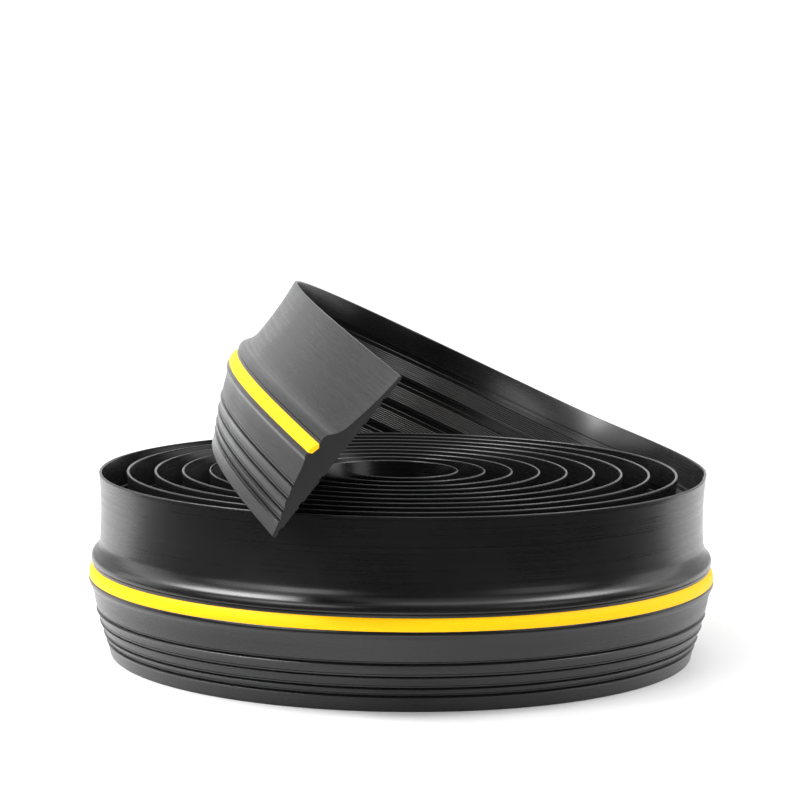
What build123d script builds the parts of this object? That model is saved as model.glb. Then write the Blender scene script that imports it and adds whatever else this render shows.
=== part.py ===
"""Rubber threshold seal strip with a warning stripe, wound in a coil.

The strip is one long rubber extrusion: a thin lip, a hollow ramp, a rounded
shoulder, a crest that carries an inlaid yellow bead, and a grooved slope down
to a flat toe. Its underside is flat, with wide glue channels. It is wound on
edge with the lip up and the crest outwards. The free end leaves the outer turn
at the right, leans over, climbs across the top and comes back to the front.

Origin: on the floor, under the middle of the whole part. +Z is up, and the cut
end of the free end points towards -Y.
"""
import os
from math import ceil, cos, degrees, radians, sin

from build123d import *

# Strip section, laid flat with its lip at station 0 and its toe at the full width
STRIP_WIDTH = 100.0
CREST_HEIGHT = 15.0
LIP_THICKNESS = 1.6
TOE_THICKNESS = 2.0
TOE_EDGE_BREAK = 0.5
RAMP_SAG = 0.78

# Shoulder, crest and slope: each point's distance from the toe edge and depth below the crest
RAMP_END = (63.0, 8.0)
SHOULDER_HOLLOW = (59.5, 6.3)
SHOULDER_FOOT = (57.0, 4.1)
SHOULDER_CROWN = (54.4, 2.2)
SHOULDER_TOP = (51.4, 1.7)
CREST_TOP = (41.6, 0.0)
SLOPE_START = (39.6, 1.0)
SLOPE_HOLLOW = (36.4, 2.3)
SLOPE_SHOULDER = (32.0, 3.4)

# Inlaid bead, between the shoulder and the crest
BEAD_START = (49.6, 2.1)
BEAD_END = (43.1, 0.4)
BEAD_CROWN = 0.9
BEAD_ROOT = 1.6
BEAD_ROOT_SLANT = 1.2
BEAD_GROOVE_DEPTH = 0.9

# Grooves along the slope: distance from the toe edge, and rise above the slope's straight line
SLOPE_GROOVES = ((25.6, 0.25), (18.9, 0.29), (12.7, -0.12), (8.3, -0.48))
GROOVE_WIDTH = 0.9
GROOVE_DEPTH = 0.8

# Glue channels along the underside, as many as the width holds
FIRST_CHANNEL = 13.3
CHANNEL_PITCH = 16.1
CHANNEL_WIDTH = 3.2
CHANNEL_DEPTH = 0.8
CHANNEL_MARGIN = 2.0

# Coil: wound on edge, both edges of the strip leaning outwards from its middle
COIL_CENTRE_Y = -3.7
EYE_RADIUS = 21.6
FULL_TURNS = 9
TURN_CLEARANCE = 0.1
LIP_LEAN = 8.0
TOE_LEAN = 1.6
TURN_PITCH = CREST_HEIGHT + TURN_CLEARANCE
OUTER_RADIUS = EYE_RADIUS + FULL_TURNS * TURN_PITCH

# Free end: runs of (length, bend radius beyond the outer turn's, twist in degrees)
FREE_START_ANGLE = -8.0
FREE_RUNS = (
    (48.0, 45.0, 10.1),
    (141.0, 23.9, 20.8),
    (90.3, 18.4, -5.8),
    (172.7, -59.1, -3.1),
    (285.3, 533.1, -11.7),
)
RUN_EASE = 30.0
WALK_STEP = 2.0
SECTION_SPACING = 20.0
FLATTENING_LENGTH = 150.0


def leaned(point, lean):
    """Move a section point outwards by the lean of its half of the width."""
    station, height = point
    middle = STRIP_WIDTH / 2
    edge_lean = lean * (LIP_LEAN if station < middle else TOE_LEAN)
    return station, height + edge_lean * abs(station - middle) / middle


def hump_point(place):
    """The section point at a distance from the toe edge and a depth below the crest."""
    from_toe, depth = place
    return STRIP_WIDTH - from_toe, CREST_HEIGHT - depth


def bead_frame():
    """The bead's two edges, and the directions along and away from the line between them."""
    start = Vector(*hump_point(BEAD_START))
    end = Vector(*hump_point(BEAD_END))
    across = (end - start).normalized()
    return start, end, across, Vector(-across.Y, across.X)


def draw_bead_root(lean):
    """Draw the bead's seat: a flat floor with a slanted wall under each edge."""
    start, end, across, away = bead_frame()
    near_foot = start + across * BEAD_ROOT_SLANT - away * BEAD_ROOT
    far_foot = end - across * BEAD_ROOT_SLANT - away * BEAD_ROOT
    Polyline(*[leaned((point.X, point.Y), lean) for point in (start, near_foot, far_foot, end)])


def slope_points():
    """The grooved slope from the crest's foot to the toe, with a V cut at each groove."""
    shoulder = hump_point(SLOPE_SHOULDER)
    toe = (STRIP_WIDTH - TOE_EDGE_BREAK, TOE_THICKNESS)
    fall = (shoulder[1] - toe[1]) / (toe[0] - shoulder[0])
    points = [shoulder]
    for from_toe, rise in SLOPE_GROOVES:
        station = STRIP_WIDTH - from_toe
        height = toe[1] + (toe[0] - station) * fall + rise
        points.append((station - GROOVE_WIDTH / 2, height))
        points.append((station, height - GROOVE_DEPTH))
        points.append((station + GROOVE_WIDTH / 2, height))
    return points + [toe, (STRIP_WIDTH, TOE_THICKNESS - TOE_EDGE_BREAK)]


def underside_points():
    """The underside from the toe back to the lip, stepping into each glue channel."""
    points = [(STRIP_WIDTH, TOE_THICKNESS - TOE_EDGE_BREAK), (STRIP_WIDTH, TOE_EDGE_BREAK)]
    points.append((STRIP_WIDTH - TOE_EDGE_BREAK, 0.0))
    last_channel = STRIP_WIDTH - CHANNEL_MARGIN - CHANNEL_WIDTH
    count = int((last_channel - FIRST_CHANNEL) // CHANNEL_PITCH) + 1
    for channel in reversed(range(count)):
        near = FIRST_CHANNEL + channel * CHANNEL_PITCH
        far = near + CHANNEL_WIDTH
        points += [(far, 0.0), (far, CHANNEL_DEPTH), (near, CHANNEL_DEPTH), (near, 0.0)]
    points.append((LIP_THICKNESS / 2, 0.0))
    return points


def draw_arc(start, through, end, lean):
    """An arc through three section points, leaned with the strip."""
    ThreePointArc(leaned(start, lean), leaned(through, lean), leaned(end, lean))


def draw_strip(lean):
    """Draw the black section's closed edge, from the lip over the crest to the toe and back."""
    lip_bottom = (LIP_THICKNESS / 2, 0.0)
    lip_top = (LIP_THICKNESS / 2, LIP_THICKNESS)
    ramp_end = hump_point(RAMP_END)
    ramp_middle = ((lip_top[0] + ramp_end[0]) / 2, (lip_top[1] + ramp_end[1]) / 2 - RAMP_SAG)
    shoulder_foot = hump_point(SHOULDER_FOOT)
    shoulder_top = hump_point(SHOULDER_TOP)
    bead_start = hump_point(BEAD_START)
    groove_bottom = ((shoulder_top[0] + bead_start[0]) / 2, shoulder_top[1] - BEAD_GROOVE_DEPTH)
    slope_start = hump_point(SLOPE_START)
    draw_arc(lip_bottom, (0.0, LIP_THICKNESS / 2), lip_top, lean)
    draw_arc(lip_top, ramp_middle, ramp_end, lean)
    draw_arc(ramp_end, hump_point(SHOULDER_HOLLOW), shoulder_foot, lean)
    draw_arc(shoulder_foot, hump_point(SHOULDER_CROWN), shoulder_top, lean)
    Polyline(*[leaned(point, lean) for point in (shoulder_top, groove_bottom, bead_start)])
    draw_bead_root(lean)
    draw_arc(hump_point(BEAD_END), hump_point(CREST_TOP), slope_start, lean)
    draw_arc(slope_start, hump_point(SLOPE_HOLLOW), hump_point(SLOPE_SHOULDER), lean)
    Polyline(*[leaned(point, lean) for point in slope_points()])
    Polyline(*[leaned(point, lean) for point in underside_points()])


def draw_bead(lean):
    """Draw the bead's section: its rounded top and the root that fills the seat."""
    start, end, across, away = bead_frame()
    crown = (start + end) / 2 + away * BEAD_CROWN
    draw_arc((start.X, start.Y), (crown.X, crown.Y), (end.X, end.Y), lean)
    draw_bead_root(lean)


def save(part, name):
    """Label a finished piece and write it to its own file."""
    part.label = name
    export_step(part, f"parts/{name}.step")


def half_turn_plane(centre_x, radius, side):
    """The section plane where a half turn starts: at the right (side 1) or at the left (side -1)."""
    lip_corner = (centre_x + side * radius, COIL_CENTRE_Y, STRIP_WIDTH)
    return Plane(origin=lip_corner, x_dir=(0, 0, -1), z_dir=(0, -side, 0))


def add_half_turn(draw_section, centre_x, radius, side, arc):
    """Turn a leaned section about a half turn's own upright axis."""
    with BuildSketch(half_turn_plane(centre_x, radius, side)) as section:
        with BuildLine():
            draw_section(1.0)
        make_face()
    upright = Axis((centre_x, COIL_CENTRE_Y, 0), (0, 0, 1))
    revolve(section.sketch, axis=upright, revolution_arc=arc)


def run_rates(distance):
    """Bend and twist per millimetre along the free end, eased across each change of run."""
    bend = 1 / OUTER_RADIUS
    twist = 0.0
    last_bend, last_twist = bend, twist
    run_start = 0.0
    for length, beyond, turn in FREE_RUNS:
        radius = OUTER_RADIUS + beyond
        blend = min(max((distance - run_start) / RUN_EASE + 0.5, 0.0), 1.0)
        blend *= blend * (3 - 2 * blend)
        bend += (1 / radius - last_bend) * blend
        twist += (radians(turn) / length - last_twist) * blend
        last_bend, last_twist = 1 / radius, radians(turn) / length
        run_start += length
    return bend, twist


def free_end_planes():
    """Walk the free end in short steps, and give each step's distance and section plane."""
    start_angle = radians(FREE_START_ANGLE)
    outward = Vector(cos(start_angle), sin(start_angle), 0)
    heading = Vector(-sin(start_angle), cos(start_angle), 0)
    middle = outward * OUTER_RADIUS + Vector(0, COIL_CENTRE_Y, STRIP_WIDTH / 2)
    total = sum(length for length, _, _ in FREE_RUNS)
    steps = ceil(total / WALK_STEP)
    step = total / steps
    planes = []
    for index in range(steps + 1):
        across = heading.cross(outward)
        lip_corner = middle - across * (STRIP_WIDTH / 2)
        planes.append((index * step, Plane(origin=lip_corner, x_dir=across, z_dir=-heading)))
        bend, twist = run_rates((index + 0.5) * step)
        turning = heading * twist - across * bend
        axis = Axis((0, 0, 0), turning)
        angle = degrees(turning.length * step)
        last_heading = heading
        heading = heading.rotate(axis, angle)
        outward = outward.rotate(axis, angle)
        middle += (last_heading + heading) * (step / 2)
    return planes


def add_free_end(draw_section, stations):
    """Loft a section along the free end, flattening it as it leaves the coil."""
    sections = []
    for distance, plane in stations:
        lean = max(1 - distance / FLATTENING_LENGTH, 0.0) ** 2
        with BuildSketch(plane) as section:
            with BuildLine():
                draw_section(lean)
            make_face()
        sections.append(section.sketch)
    loft(sections)


os.makedirs("parts", exist_ok=True)
back_centre = -TURN_PITCH / 2

# Inner end: half a turn round the coil's eye
for draw_section, name in ((draw_strip, "strip_inner_end"), (draw_bead, "stripe_inner_end")):
    with BuildPart() as inner_end:
        add_half_turn(draw_section, 0, EYE_RADIUS, -1, 180)
    save(inner_end.part, name)

# Full turns, each a back half and a front half on their own centres
for turn in range(1, FULL_TURNS + 1):
    front_radius = EYE_RADIUS + turn * TURN_PITCH
    back_radius = front_radius - TURN_PITCH / 2
    front_arc = 180 + (FREE_START_ANGLE if turn == FULL_TURNS else 0)
    for draw_section, name in ((draw_strip, "strip_turn"), (draw_bead, "stripe_turn")):
        with BuildPart() as whole_turn:
            add_half_turn(draw_section, back_centre, back_radius, 1, 180)
            add_half_turn(draw_section, 0, front_radius, -1, front_arc)
        save(whole_turn.part, f"{name}_{turn}")

# Free end
walk = free_end_planes()
stride = round(SECTION_SPACING / WALK_STEP)
stations = walk[:-1:stride] + [walk[-1]]
for draw_section, name in ((draw_strip, "strip_free_end"), (draw_bead, "stripe_free_end")):
    with BuildPart() as free_end:
        add_free_end(draw_section, stations)
    save(free_end.part, name)
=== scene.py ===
from math import ceil, cos, pi, radians, sin

import bpy
import numpy as np
from mathutils import Matrix, Vector


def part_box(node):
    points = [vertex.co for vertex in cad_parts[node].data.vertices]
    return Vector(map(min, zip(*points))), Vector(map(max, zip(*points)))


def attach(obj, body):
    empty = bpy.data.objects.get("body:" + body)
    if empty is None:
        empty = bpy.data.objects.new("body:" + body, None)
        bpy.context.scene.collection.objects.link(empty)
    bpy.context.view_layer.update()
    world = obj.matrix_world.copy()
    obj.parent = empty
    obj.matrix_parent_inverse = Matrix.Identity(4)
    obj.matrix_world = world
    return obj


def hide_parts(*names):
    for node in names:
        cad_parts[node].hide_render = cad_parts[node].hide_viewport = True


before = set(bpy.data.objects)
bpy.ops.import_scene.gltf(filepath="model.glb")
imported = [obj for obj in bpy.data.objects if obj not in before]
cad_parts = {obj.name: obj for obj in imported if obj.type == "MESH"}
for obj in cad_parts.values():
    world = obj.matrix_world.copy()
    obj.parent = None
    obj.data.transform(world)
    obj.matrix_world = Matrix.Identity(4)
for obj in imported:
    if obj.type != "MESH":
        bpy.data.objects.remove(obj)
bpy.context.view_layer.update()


# ---------------------------------------------------------------------------
# Black strip, wound in the coil
# One long extrusion of black rubber: a thin lip, a ramp up to the crest and a
# grooved slope down to the toe, over a flat underside with glue channels. It is
# wound on edge round its own inner end, lip up and crest outwards, on no core.
# ---------------------------------------------------------------------------
MM = 0.001
STRIP_WIDTH = 100.0
CREST_HEIGHT = 15.0
LIP_THICKNESS = 1.6
TOE_THICKNESS = 2.0
TOE_EDGE_BREAK = 0.5

# Points of the outer side, as (distance across from the lip, height off the underside).
RAMP_MIDDLE = (18.9, 3.52)
RAMP_END = (37.0, 7.0)
SHOULDER_HOLLOW = (40.5, 8.7)
SHOULDER_FOOT = (43.0, 10.9)
SHOULDER_CROWN = (45.2, 12.75)
SHOULDER_TOP = (47.9, 13.3)
SHOULDER_GROOVE = ((48.15, 13.2), (48.3, 12.7), (48.55, 12.6),
                   (48.75, 12.8), (48.95, 13.0), (50.2, 13.0))
SEAT_START = (50.4, 12.9)
SEAT_END = (56.9, 14.6)
SEAT_DEPTH = 1.6
SEAT_SLANT = 1.2
CREST_START = (57.1, 14.75)
CREST_TOP = (58.4, CREST_HEIGHT)
CREST_END = (60.4, 14.0)
SLOPE_HOLLOW = (63.6, 12.7)
SLOPE_SHOULDER = (68.0, 11.6)

# Each groove of the slope: its distance from the toe edge, how far the slope swells there, its
# width and its depth.
SLOPE_GROOVES = ((25.6, 0.25, 1.1, 0.85), (18.9, 0.29, 0.7, 0.6),
                 (12.7, -0.12, 0.9, 0.8), (8.3, -0.48, 1.0, 0.75))
# The line over one groove, going down the slope. A point is this far past the groove's middle, in
# millimetres and in groove widths, and this high, in millimetres and in groove depths.
GROOVE_LINE = np.array([
    (-2.2, 0, 0.6, 0), (-1.55, 0, 0.44, 0), (-1.4, 0, 0.1, 0), (-1.25, 0, 0.36, 0),
    (0, -0.62, 0.1, 0), (0, -0.5, -0.04, 0), (0, -0.15, 0, -1), (0, 0.35, -0.12, 0),
    (0, 0.5, 0.2, 0), (0, 0.75, 0.4, 0), (0, 1.05, 0.28, 0), (0, 1.45, -0.12, 0), (2.1, 0, -0.46, 0),
])

CHANNEL_COUNT = 6
FIRST_CHANNEL = 13.3
CHANNEL_PITCH = 16.1
CHANNEL_WIDTH = 3.2
CHANNEL_DEPTH = 0.8
CHANNEL_EDGE_BREAK = 0.15
CHANNEL_WALL_SLANT = 0.1
RIBS_IN_BAND = 8
RIB_PITCH = 1.15
RIB_DEPTH = 0.42

LIP_LEAN = 8.0
TOE_LEAN = 1.6
TURN_STEP = 2.5
FREE_START_ANGLE = -8.0
SHARP_EDGE = 32


def three_point_arc(start, through, end, count):
    """The circle through three points, in equal turns from start to end. Its centre is where the
    two chords' perpendicular bisectors meet, solved as a pair of linear equations."""
    start, through, end = (np.array(point, float) for point in (start, through, end))
    chords = 2 * np.array([through - start, end - start])
    centre = np.linalg.solve(chords, [through @ through - start @ start, end @ end - start @ start])
    angles = np.array([np.arctan2(*(point - centre)[::-1]) for point in (start, through, end)])
    first, second = np.mod(angles[1:] - angles[0], 2 * pi)
    sweep = second if first <= second else second - 2 * pi
    turn = angles[0] + sweep * np.linspace(0, 1, count + 1)
    radius = np.linalg.norm(start - centre)
    return centre + radius * np.column_stack([np.cos(turn), np.sin(turn)])


def seat_line():
    """The bead's seat: its two edges, the unit step square to the line between them, and its floor's
    two ends, which lie the seat's depth under that line and the slant's length in from each edge."""
    start, end = np.array(SEAT_START), np.array(SEAT_END)
    across = (end - start) / np.linalg.norm(end - start)
    away = np.array([-across[1], across[0]])
    near_foot = start + SEAT_SLANT * across - SEAT_DEPTH * away
    far_foot = end - SEAT_SLANT * across - SEAT_DEPTH * away
    return start, end, away, np.array([near_foot, far_foot])


def slope_line():
    """The outer slope from its shoulder to the toe: a straight fall, and over each groove the groove
    line. A hair line runs above the groove's V, and a small rounded ridge along its lower edge."""
    toe = np.array([STRIP_WIDTH - TOE_EDGE_BREAK, TOE_THICKNESS])
    fall = (SLOPE_SHOULDER[1] - toe[1]) / (toe[0] - SLOPE_SHOULDER[0])
    points = []
    for from_toe, swell, width, depth in SLOPE_GROOVES:
        station = STRIP_WIDTH - from_toe
        height = toe[1] + (toe[0] - station) * fall + swell
        offsets = GROOVE_LINE[:, 0] + GROOVE_LINE[:, 1] * width
        rises = GROOVE_LINE[:, 2] + GROOVE_LINE[:, 3] * depth
        points.append(np.column_stack([station + offsets, height + rises]))
    return np.concatenate(points)


def ribbed_underside():
    """The underside from the toe to the lip: flats, square glue channels, and between two channels
    a band of V-shaped ribs whose crests lie in the flat and whose valleys are cut below it."""
    points = []
    for channel in reversed(range(CHANNEL_COUNT)):
        near = FIRST_CHANNEL + channel * CHANNEL_PITCH
        far = near + CHANNEL_WIDTH
        points += [(far + CHANNEL_EDGE_BREAK, 0.0), (far, CHANNEL_EDGE_BREAK)]
        points += [(far - CHANNEL_WALL_SLANT, CHANNEL_DEPTH)]
        points += [(near + CHANNEL_WALL_SLANT, CHANNEL_DEPTH)]
        points += [(near, CHANNEL_EDGE_BREAK), (near - CHANNEL_EDGE_BREAK, 0.0)]
        if channel > 0:
            band = RIBS_IN_BAND * RIB_PITCH
            last = near - (CHANNEL_PITCH - CHANNEL_WIDTH - band) / 2
            for rib in range(RIBS_IN_BAND):
                crest = last - rib * RIB_PITCH
                points += [(crest, 0.0), (crest - RIB_PITCH * 0.5, RIB_DEPTH)]
            points.append((last - band, 0.0))
    return np.array(points)


def strip_section():
    """The closed section of the black strip: lip, ramp, shoulder, bead seat, crest and slope in
    turn, then the toe and the underside back to the lip. Points that coincide are dropped."""
    lip = LIP_THICKNESS / 2
    edge = TOE_EDGE_BREAK
    soft = 0.3 * edge
    outline = np.concatenate([
        three_point_arc((lip, 0.0), (0.0, lip), (lip, LIP_THICKNESS), 8),
        three_point_arc((lip, LIP_THICKNESS), RAMP_MIDDLE, RAMP_END, 14),
        three_point_arc(RAMP_END, SHOULDER_HOLLOW, SHOULDER_FOOT, 8),
        three_point_arc(SHOULDER_FOOT, SHOULDER_CROWN, SHOULDER_TOP, 10),
        SHOULDER_GROOVE,
        [SEAT_START, *seat_line()[3], SEAT_END],
        three_point_arc(CREST_START, CREST_TOP, CREST_END, 8),
        three_point_arc(CREST_END, SLOPE_HOLLOW, SLOPE_SHOULDER, 6),
        slope_line(),
        [(STRIP_WIDTH - edge, TOE_THICKNESS), (STRIP_WIDTH - soft, TOE_THICKNESS - soft),
         (STRIP_WIDTH, TOE_THICKNESS - edge), (STRIP_WIDTH, edge), (STRIP_WIDTH - soft, soft),
         (STRIP_WIDTH - edge, 0.0)],
        ribbed_underside(),
    ])
    apart = np.linalg.norm(outline - np.roll(outline, 1, axis=0), axis=1) > 1e-6
    return outline[apart] * MM


def lean_shape(section):
    """How far each section point leans outward: from none at mid width to the full lean at an edge,
    in proportion to its distance from mid width."""
    station = section[:, 0] / MM
    middle = STRIP_WIDTH / 2
    full = np.where(station < middle, LIP_LEAN, TOE_LEAN) * MM
    return full * np.abs(station - middle) / middle


def half_turn(centre_x, radius, start, end, length):
    """Rows of a route round an upright axis: place = centre + radius * (cos a, sin a), the strip
    hanging down from its lip, with the same small steps of a all the way."""
    count = ceil((end - start) / TURN_STEP)
    angle = np.radians(np.linspace(start, end, count + 1))
    outward = np.column_stack([np.cos(angle), np.sin(angle), np.zeros(count + 1)])
    corner = outward * radius + np.array([centre_x, centre_y, STRIP_WIDTH * MM])
    across = np.tile([0.0, 0.0, -1.0], (count + 1, 1))
    lean = np.ones(count + 1)
    return corner, across, outward, lean, length + (angle - angle[0]) * radius


def joined(*routes):
    """Routes one after another, each without the row it shares with the one before."""
    return tuple(np.concatenate([part[0]] + [later[1:] for later in part[1:]])
                 for part in zip(*routes))


def swept_piece(name, section, route, finishes):
    """A section carried along a route as one closed skin. Point (i, j) is the route's lip corner i
    plus station j across, plus height j and its lean outward. Both ends are capped by one face,
    in the last finish. The map "length_girth" is the length along and the girth round, in metres."""
    corner, across, outward, lean, length = route
    height = section[None, :, 1] + lean[:, None] * lean_shape(section)[None, :]
    points = corner[:, None, :] + section[None, :, 0, None] * across[:, None, :]
    points = points + height[:, :, None] * outward[:, None, :]
    rows, columns = points.shape[:2]
    index = np.arange(rows * columns).reshape(rows, columns)
    beside = np.roll(index, -1, axis=1)
    quads = np.stack([index[:-1], index[1:], beside[1:], beside[:-1]], axis=-1).reshape(-1, 4)
    corners = np.concatenate([quads.ravel(), index[0], index[-1][::-1]])
    sizes = np.concatenate([np.full(len(quads), 4), [columns, columns]])
    starts = np.concatenate([[0], np.cumsum(sizes)[:-1]])

    mesh = bpy.data.meshes.new(name)
    mesh.vertices.add(rows * columns)
    mesh.vertices.foreach_set("co", points.ravel())
    mesh.loops.add(len(corners))
    mesh.loops.foreach_set("vertex_index", corners)
    mesh.polygons.add(len(sizes))
    mesh.polygons.foreach_set("loop_start", starts)
    mesh.polygons.foreach_set("loop_total", sizes)
    mesh.polygons.foreach_set("use_smooth", np.ones(len(sizes), bool))
    finish = np.zeros(len(sizes), int)
    finish[-2:] = len(finishes) - 1
    mesh.polygons.foreach_set("material_index", finish)

    girth = np.concatenate([[0], np.cumsum(np.linalg.norm(np.diff(section, axis=0), axis=1))])
    girth_end = np.append(girth, girth[-1] + np.linalg.norm(section[0] - section[-1]))
    along = np.stack([length[:-1], length[1:], length[1:], length[:-1]], axis=-1)
    along = np.repeat(along[:, None, :], columns, axis=1)
    around = np.stack([girth_end[:-1], girth_end[:-1], girth_end[1:], girth_end[1:]], axis=-1)
    around = np.repeat(around[None, :, :], rows - 1, axis=0)
    side_map = np.stack([along, around], axis=-1).reshape(-1, 2)
    layer = mesh.uv_layers.new(name="length_girth")
    layer.uv.foreach_set("vector", np.concatenate([side_map, section, section[::-1]]).ravel())

    mesh.update(calc_edges=True)
    mesh.validate()
    mesh.set_sharp_from_angle(angle=radians(SHARP_EDGE))
    for material in finishes:
        mesh.materials.append(material)
    piece = bpy.data.objects.new(name, mesh)
    bpy.context.scene.collection.objects.link(piece)
    return piece


def dress(piece, node):
    """The piece hides its CAD node, taking its place, and moves with the coil's body."""
    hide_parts(node)
    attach(piece, "root")


def die_marks_group():
    """Masks read from the strip's map (length, girth) and from the object's own place: streaks are
    noise stretched along the length, bloom is slow cloudy noise, grain is fine even noise."""
    group = bpy.data.node_groups.new("die_marks", "ShaderNodeTree")
    for name in ("Streak spacing", "Bloom scale", "Grain scale"):
        group.interface.new_socket(name, in_out="INPUT", socket_type="NodeSocketFloat")
    for name in ("Streak", "Bloom", "Grain"):
        group.interface.new_socket(name, in_out="OUTPUT", socket_type="NodeSocketFloat")
    nodes, links = group.nodes, group.links
    given = nodes.new("NodeGroupInput")
    out = nodes.new("NodeGroupOutput")
    strip_map = nodes.new("ShaderNodeUVMap")
    strip_map.uv_map = "length_girth"
    split = nodes.new("ShaderNodeSeparateXYZ")
    links.new(strip_map.outputs["UV"], split.inputs["Vector"])
    along = nodes.new("ShaderNodeMath")
    along.operation = "MULTIPLY"
    along.inputs[1].default_value = 2.2
    links.new(split.outputs["X"], along.inputs[0])
    girth = nodes.new("ShaderNodeMath")
    girth.operation = "MULTIPLY"
    links.new(split.outputs["Y"], girth.inputs[0])
    links.new(given.outputs["Streak spacing"], girth.inputs[1])
    stretched = nodes.new("ShaderNodeCombineXYZ")
    links.new(along.outputs[0], stretched.inputs["X"])
    links.new(girth.outputs[0], stretched.inputs["Y"])
    streak = nodes.new("ShaderNodeTexNoise")
    streak.inputs["Scale"].default_value = 1.0
    streak.inputs["Detail"].default_value = 3.0
    streak.inputs["Roughness"].default_value = 0.6
    links.new(stretched.outputs[0], streak.inputs["Vector"])
    links.new(streak.outputs["Fac"], out.inputs["Streak"])
    place = nodes.new("ShaderNodeTexCoord")
    for name, scale, detail in (("Bloom", "Bloom scale", 4.0), ("Grain", "Grain scale", 2.0)):
        noise = nodes.new("ShaderNodeTexNoise")
        noise.inputs["Detail"].default_value = detail
        noise.inputs["Roughness"].default_value = 0.55
        links.new(place.outputs["Object"], noise.inputs["Vector"])
        links.new(given.outputs[scale], noise.inputs["Scale"])
        links.new(noise.outputs["Fac"], out.inputs[name])
    return group


def mapped(tree, mask, low, high, mask_low=0.3, mask_high=0.7):
    """A mask spread in a straight line, from its own low and high to the new ones, and held there."""
    spread = tree.nodes.new("ShaderNodeMapRange")
    spread.inputs["From Min"].default_value = mask_low
    spread.inputs["From Max"].default_value = mask_high
    spread.inputs["To Min"].default_value = low
    spread.inputs["To Max"].default_value = high
    tree.links.new(mask, spread.inputs["Value"])
    return spread.outputs["Result"]


def added(tree, first, second):
    """The sum of two masks."""
    total = tree.nodes.new("ShaderNodeMath")
    total.operation = "ADD"
    tree.links.new(first, total.inputs[0])
    tree.links.new(second, total.inputs[1])
    return total.outputs[0]


def rubber(name, tones, roughness, streak_height, grain_height,
           streak_spacing, bloom_scale, grain_scale):
    """A rubber finish. Tone is three fifths bloom and two fifths streak between its dark and light;
    roughness is half each; the bump is the sum of streaks and grain, their heights in metres."""
    material = bpy.data.materials.new(name)
    material.use_nodes = True
    tree = material.node_tree
    shader = tree.nodes["Principled BSDF"]
    die = tree.nodes.new("ShaderNodeGroup")
    die.node_tree = die_marks
    die.inputs["Streak spacing"].default_value = streak_spacing
    die.inputs["Bloom scale"].default_value = bloom_scale
    die.inputs["Grain scale"].default_value = grain_scale
    tone = tree.nodes.new("ShaderNodeMix")
    tone.data_type = "RGBA"
    tone.inputs["A"].default_value = (*tones[0], 1)
    tone.inputs["B"].default_value = (*tones[1], 1)
    bloom_share = mapped(tree, die.outputs["Bloom"], 0.0, 0.6)
    streak_share = mapped(tree, die.outputs["Streak"], 0.0, 0.4)
    tree.links.new(added(tree, bloom_share, streak_share), tone.inputs["Factor"])
    tree.links.new(tone.outputs["Result"], shader.inputs["Base Color"])
    smoothest, roughest = roughness
    half = (roughest - smoothest) / 2
    rough_bloom = mapped(tree, die.outputs["Bloom"], smoothest, smoothest + half)
    rough_streak = mapped(tree, die.outputs["Streak"], 0.0, half)
    tree.links.new(added(tree, rough_bloom, rough_streak), shader.inputs["Roughness"])
    streaks = mapped(tree, die.outputs["Streak"], 0.0, streak_height, 0.0, 1.0)
    grain = mapped(tree, die.outputs["Grain"], 0.0, grain_height, 0.0, 1.0)
    bump = tree.nodes.new("ShaderNodeBump")
    bump.inputs["Distance"].default_value = 1.0
    tree.links.new(added(tree, streaks, grain), bump.inputs["Height"])
    tree.links.new(bump.outputs["Normal"], shader.inputs["Normal"])
    return material


die_marks = die_marks_group()
black_rubber = rubber(
    "black_rubber", ((0.003, 0.003, 0.0031), (0.008, 0.008, 0.0082)), (0.22, 0.35),
    streak_height=0.000016, grain_height=0.000007, streak_spacing=700, bloom_scale=16, grain_scale=1500)
cut_rubber = rubber(
    "cut_rubber", ((0.013, 0.013, 0.0135), (0.024, 0.024, 0.025)), (0.62, 0.8),
    streak_height=0.00002, grain_height=0.00006, streak_spacing=700, bloom_scale=16, grain_scale=1500)

# The outer turn's box gives the coil's middle and radius, and the step in from it the pitch.
strip_shape = strip_section()
turn_count = sum(name.startswith("strip_turn_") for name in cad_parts)
outer_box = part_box(f"strip_turn_{turn_count}")
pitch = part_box(f"strip_turn_{turn_count - 1}")[0][1] - outer_box[0][1]
reach = (strip_shape[:, 1] + lean_shape(strip_shape)).max()
outer_radius = (outer_box[1][1] - outer_box[0][1] + pitch / 2) / 2 - reach
centre_y = (outer_box[1][1] + outer_box[0][1] + pitch / 2) / 2
inner_radius = outer_radius - turn_count * pitch

# The inner end is half a turn at the front. Every turn after it is a back half and a front half
# on centres half a pitch apart, so each half runs smoothly into the next.
wound_routes = {"inner_end": half_turn(0, inner_radius, 180, 360, 0.0)}
wound_length = wound_routes["inner_end"][4][-1]
for turn in range(1, turn_count + 1):
    front_radius = inner_radius + turn * pitch
    back = half_turn(-pitch / 2, front_radius - pitch / 2, 0, 180, wound_length)
    front_end = 360 + (FREE_START_ANGLE if turn == turn_count else 0)
    front = half_turn(0, front_radius, 180, front_end, back[4][-1])
    wound_routes[f"turn_{turn}"] = joined(back, front)
    wound_length = front[4][-1]

for length_name, route in wound_routes.items():
    finishes = (black_rubber, cut_rubber) if length_name == "inner_end" else (black_rubber,)
    piece = swept_piece(f"strip_{length_name}_skin", strip_shape, route, finishes)
    dress(piece, f"strip_{length_name}")


# ---------------------------------------------------------------------------
# Yellow bead, wound in the coil
# A narrow bead of smooth yellow rubber with a rounded top. It is drawn with the
# black strip and held in the slanted seat beside the crest for its whole length.
# ---------------------------------------------------------------------------
BEAD_CROWN = 0.9


def bead_section():
    """The bead's closed section: an arc that stands the crown's height off the middle of the seat's
    top line, then the seat's floor from its far end to its near end."""
    start, end, away, floor_ends = seat_line()
    crown = three_point_arc(start, (start + end) / 2 + BEAD_CROWN * away, end, 14)
    return np.concatenate([crown, floor_ends[::-1]]) * MM


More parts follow.
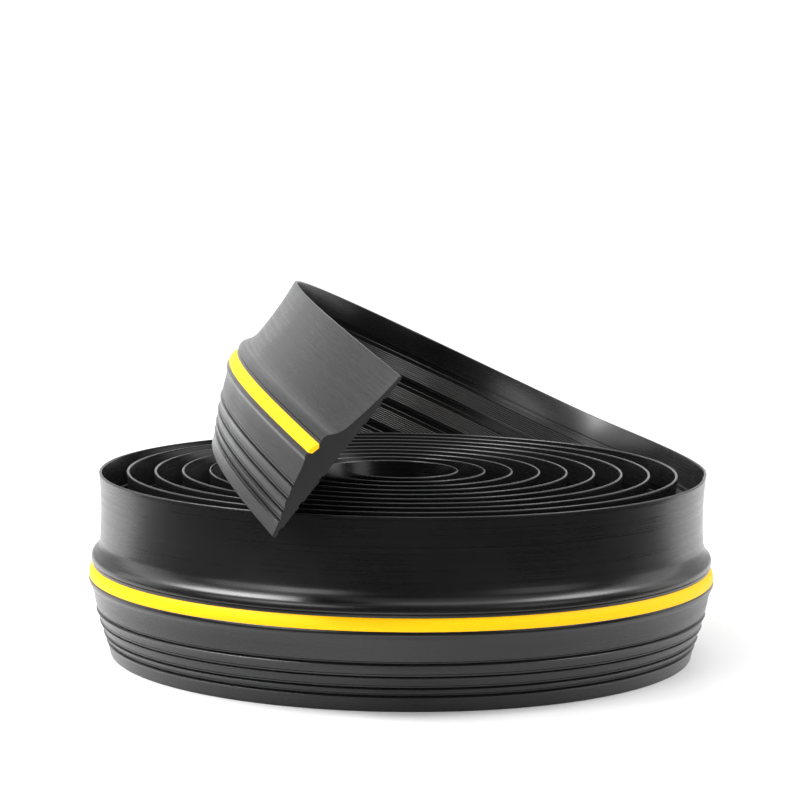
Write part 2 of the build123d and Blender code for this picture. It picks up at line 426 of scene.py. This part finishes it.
yellow_rubber = rubber(
    "yellow_rubber", ((0.95, 0.50, 0.0), (0.98, 0.56, 0.0)), (0.42, 0.56),
    streak_height=0.00002, grain_height=0.000005, streak_spacing=700, bloom_scale=16, grain_scale=1500)
yellow_rubber.node_tree.nodes["Principled BSDF"].inputs["Specular IOR Level"].default_value = 0.15

bead_shape = bead_section()
for length_name, route in wound_routes.items():
    piece = swept_piece(f"stripe_{length_name}_skin", bead_shape, route, (yellow_rubber,))
    dress(piece, f"stripe_{length_name}")


# ---------------------------------------------------------------------------
# Free end, strip and bead
# The last length of the same strip with its bead. It leaves the outer turn,
# leans over, climbs across the back and comes round to the front, cut square.
# ---------------------------------------------------------------------------
# Each run's length, bend radius beyond the outer turn's, and twist in degrees.
FREE_RUNS = (
    (48.0, 45.0, 10.1),
    (141.0, 23.9, 20.8),
    (90.3, 18.4, -5.8),
    (172.7, -59.1, -3.1),
    (285.3, 533.1, -11.7),
)
RUN_EASE = 30.0
WALK_STEP = 2.0
FLATTENING_LENGTH = 150.0


def run_rates(distance, start_radius):
    """Bend and twist per millimetre at each distance: each run's own rates, blended into the next
    over the easing length by the smooth step 3x^2 - 2x^3."""
    bend = np.full_like(distance, 1 / start_radius)
    twist = np.zeros_like(distance)
    last_bend, last_twist = 1 / start_radius, 0.0
    run_start = 0.0
    for length, beyond, turn in FREE_RUNS:
        radius = start_radius + beyond
        blend = np.clip((distance - run_start) / RUN_EASE + 0.5, 0, 1)
        blend = blend * blend * (3 - 2 * blend)
        bend = bend + (1 / radius - last_bend) * blend
        twist = twist + (radians(turn) / length - last_twist) * blend
        last_bend, last_twist = 1 / radius, radians(turn) / length
        run_start += length
    return bend, twist


def free_end_route(start_radius):
    """Walk the strip's middle line in short steps. In each step the frame turns by the twist about
    its heading and by the bend about its width, and the middle moves along the mean heading. The
    lean fades as the square of the flattening length that is left."""
    total = sum(length for length, _, _ in FREE_RUNS)
    steps = ceil(total / WALK_STEP)
    step = total / steps
    bends, twists = run_rates((np.arange(steps) + 0.5) * step, start_radius)
    angle = radians(FREE_START_ANGLE)
    outward = Vector((cos(angle), sin(angle), 0))
    heading = Vector((-sin(angle), cos(angle), 0))
    middle = outward * start_radius + Vector((0, 0, STRIP_WIDTH / 2))
    rows = [(middle.copy(), heading.cross(outward), outward.copy())]
    for bend, twist in zip(bends, twists):
        turning = heading * twist - heading.cross(outward) * bend
        rotation = Matrix.Rotation(turning.length * step, 3, turning)
        last_heading = heading
        heading = rotation @ heading
        outward = rotation @ outward
        middle = middle + (last_heading + heading) * (step / 2)
        rows.append((middle.copy(), heading.cross(outward), outward.copy()))
    middles, acrosses, outwards = (np.array(column) for column in zip(*rows))
    corner = (middles - acrosses * STRIP_WIDTH / 2) * MM + np.array([0, centre_y, 0])
    distance = np.arange(steps + 1) * step
    lean = np.clip(1 - distance / FLATTENING_LENGTH, 0, None) ** 2
    return corner, acrosses, outwards, lean, wound_length + distance * MM


free_route = free_end_route(outer_radius / MM)
free_strip = swept_piece("strip_free_end_skin", strip_shape, free_route, (black_rubber, cut_rubber))
dress(free_strip, "strip_free_end")
free_bead = swept_piece("stripe_free_end_skin", bead_shape, free_route, (yellow_rubber,))
dress(free_bead, "stripe_free_end")


# ---------------------------------------------------------------------------
# Floor and backdrop
# A pale paper sweep, not part of the strip: flat under the coil, then curving
# up behind it into a plain upright wall.
# ---------------------------------------------------------------------------
SWEEP_HALF_WIDTH = 5.0
SWEEP_FRONT = 2.5
SWEEP_BACK = 2.4
SWEEP_TOP = 4.0
SWEEP_BEND = 1.2

bend_turn = np.linspace(0, pi / 2, 25)
sweep_profile = np.concatenate([
    [(-SWEEP_FRONT, 0.0)],
    np.column_stack([SWEEP_BACK + SWEEP_BEND * np.sin(bend_turn),
                     SWEEP_BEND * (1 - np.cos(bend_turn))]),
    [(SWEEP_BACK + SWEEP_BEND, SWEEP_TOP)],
])
profile_count = len(sweep_profile)
left_edge = np.column_stack([np.full(profile_count, -SWEEP_HALF_WIDTH), sweep_profile])
right_edge = np.column_stack([np.full(profile_count, SWEEP_HALF_WIDTH), sweep_profile])
row = np.arange(profile_count - 1)
sweep_faces = np.column_stack([row, row + profile_count, row + profile_count + 1, row + 1])
sweep_mesh = bpy.data.meshes.new("floor_sweep")
sweep_mesh.from_pydata(np.concatenate([left_edge, right_edge]), [], sweep_faces)
sweep_mesh.polygons.foreach_set("use_smooth", np.ones(len(sweep_faces), bool))

paper = bpy.data.materials.new("pale_paper")
paper.use_nodes = True
paper_shader = paper.node_tree.nodes["Principled BSDF"]
paper_shader.inputs["Base Color"].default_value = (0.86, 0.86, 0.865, 1)
paper_shader.inputs["Roughness"].default_value = 0.55
sweep_mesh.materials.append(paper)
floor_sweep = bpy.data.objects.new("floor_sweep", sweep_mesh)
bpy.context.scene.collection.objects.link(floor_sweep)


# ---------------------------------------------------------------------------
# Soft light
# High soft boxes pick out every upward edge, a tall box at each side lights the
# coil's flanks, and low dim ones give the ramp a faint sheen. A plain white
# world fills the rest.
# ---------------------------------------------------------------------------
COIL_MIDDLE = (0.0, 0.0, 0.1)
FLOOR_MIDDLE = (0.0, 0.0, 0.0)


def soft_box(name, place, aim, width, height, radiance):
    """A rectangular area lamp at a place, turned to face its aim. Its power is radiance * pi * area."""
    lamp = bpy.data.lights.new(name, "AREA")
    lamp.shape = "RECTANGLE"
    lamp.size = width
    lamp.size_y = height
    lamp.energy = radiance * pi * width * height
    box = bpy.data.objects.new(name, lamp)
    box.location = place
    box.rotation_euler = (Vector(aim) - Vector(place)).to_track_quat("-Z", "Y").to_euler()
    bpy.context.scene.collection.objects.link(box)


soft_box("overhead_box", (0.0, -0.1, 1.5), FLOOR_MIDDLE, 1.1, 0.9, 1.6)
soft_box("left_high_box", (-1.0, 0.1, 1.4), FLOOR_MIDDLE, 0.7, 0.7, 14.0)
soft_box("right_high_box", (1.0, 0.1, 1.4), FLOOR_MIDDLE, 0.7, 0.7, 9.0)
soft_box("left_key", (-1.2, -0.4, 1.9), (0.0, 0.0, 0.05), 0.6, 0.5, 16.0)
soft_box("low_left_box", (-1.15, -1.55, 0.85), COIL_MIDDLE, 0.9, 0.7, 4.5)
soft_box("left_fill", (-1.5, -1.0, 0.65), COIL_MIDDLE, 1.0, 0.8, 2.2)
soft_box("right_fill", (1.45, -1.15, 0.65), COIL_MIDDLE, 1.0, 0.8, 1.5)
soft_box("left_box", (-1.9, 0.6, 0.8), COIL_MIDDLE, 1.2, 1.6, 1.4)
soft_box("right_box", (1.9, 0.6, 0.8), COIL_MIDDLE, 1.2, 1.6, 1.4)
soft_box("backdrop_wash", (0.0, 1.8, 2.0), (0.0, 3.3, 0.4), 3.0, 0.4, 6.2)

world = bpy.data.worlds.new("studio")
world.use_nodes = True
world.node_tree.nodes["Background"].inputs["Color"].default_value = (1.0, 1.0, 1.0, 1)
world.node_tree.nodes["Background"].inputs["Strength"].default_value = 0.6
bpy.context.scene.world = world
bpy.context.scene.view_settings.view_transform = "Standard"


# ---------------------------------------------------------------------------
# Black cards
# Matt black card, not part of the strip: one bent round behind the camera and
# one flat on the floor in front. They keep the front of the rubber dark.
# ---------------------------------------------------------------------------
CARD_LIFT = 0.01
CARD_TOP = 2.6
CARD_FEET = np.array([(-2.7, 0.9), (-2.6, -0.3), (-1.8, -2.3),
                      (1.8, -2.3), (2.6, -0.3), (2.7, 1.5)])
CARD_NEAR_EDGE = np.array([(0.75, 0.35), (0.3, -0.1), (0.0, -0.26), (-0.3, -0.1), (-0.75, 0.35)])

card_black = bpy.data.materials.new("card_black")
card_black.use_nodes = True
card_shader = card_black.node_tree.nodes["Principled BSDF"]
card_shader.inputs["Base Color"].default_value = (0.01, 0.01, 0.01, 1)
card_shader.inputs["Roughness"].default_value = 1.0


def at_height(plan, height):
    """The plan's points, each at the same height."""
    return np.column_stack([plan, np.full(len(plan), height)])


def black_card(name, points, faces):
    """A black card that only reflections meet: it throws no shadow and the camera looks past it."""
    mesh = bpy.data.meshes.new(name)
    mesh.from_pydata(points, [], faces)
    mesh.materials.append(card_black)
    card = bpy.data.objects.new(name, mesh)
    bpy.context.scene.collection.objects.link(card)
    card.visible_camera = False
    card.visible_diffuse = False
    card.visible_shadow = False


foot_count = len(CARD_FEET)
black_card("card_behind_camera",
           np.concatenate([at_height(CARD_FEET, CARD_LIFT), at_height(CARD_FEET, CARD_TOP)]),
           [(foot, foot + 1, foot + 1 + foot_count, foot + foot_count)
            for foot in range(foot_count - 1)])
floor_plan = np.concatenate([CARD_FEET, CARD_NEAR_EDGE])
black_card("card_on_floor", at_height(floor_plan, CARD_LIFT), [tuple(range(len(floor_plan)))])


# ---------------------------------------------------------------------------
# Camera
# A long lens a little above the coil's top, nearly level and hardly rolled, so
# the turns show as thin rings and the cut end faces it.
# ---------------------------------------------------------------------------
CAMERA_DISTANCE = 1.582
CAMERA_ELEVATION = 6.754
CAMERA_ROLL = 0.53
CAMERA_LENS = 129.0
CAMERA_SENSOR = 36.0
CAMERA_REACH = 30.0
AIM = Vector((-0.0016, centre_y, 0.1387))

tilt = radians(CAMERA_ELEVATION)
forward = Vector((0.0, cos(tilt), -sin(tilt)))
level = Vector((1.0, 0.0, 0.0))
upright = level.cross(forward)
roll = radians(CAMERA_ROLL)
side = cos(roll) * level + sin(roll) * upright
up = cos(roll) * upright - sin(roll) * level
lens = bpy.data.cameras.new("camera")
lens.lens = CAMERA_LENS
lens.sensor_width = CAMERA_SENSOR
lens.clip_end = CAMERA_REACH
camera = bpy.data.objects.new("camera", lens)
facing = Matrix((side, up, -forward)).transposed().to_4x4()
camera.matrix_world = Matrix.Translation(AIM - forward * CAMERA_DISTANCE) @ facing
bpy.context.scene.collection.objects.link(camera)
bpy.context.scene.camera = camera
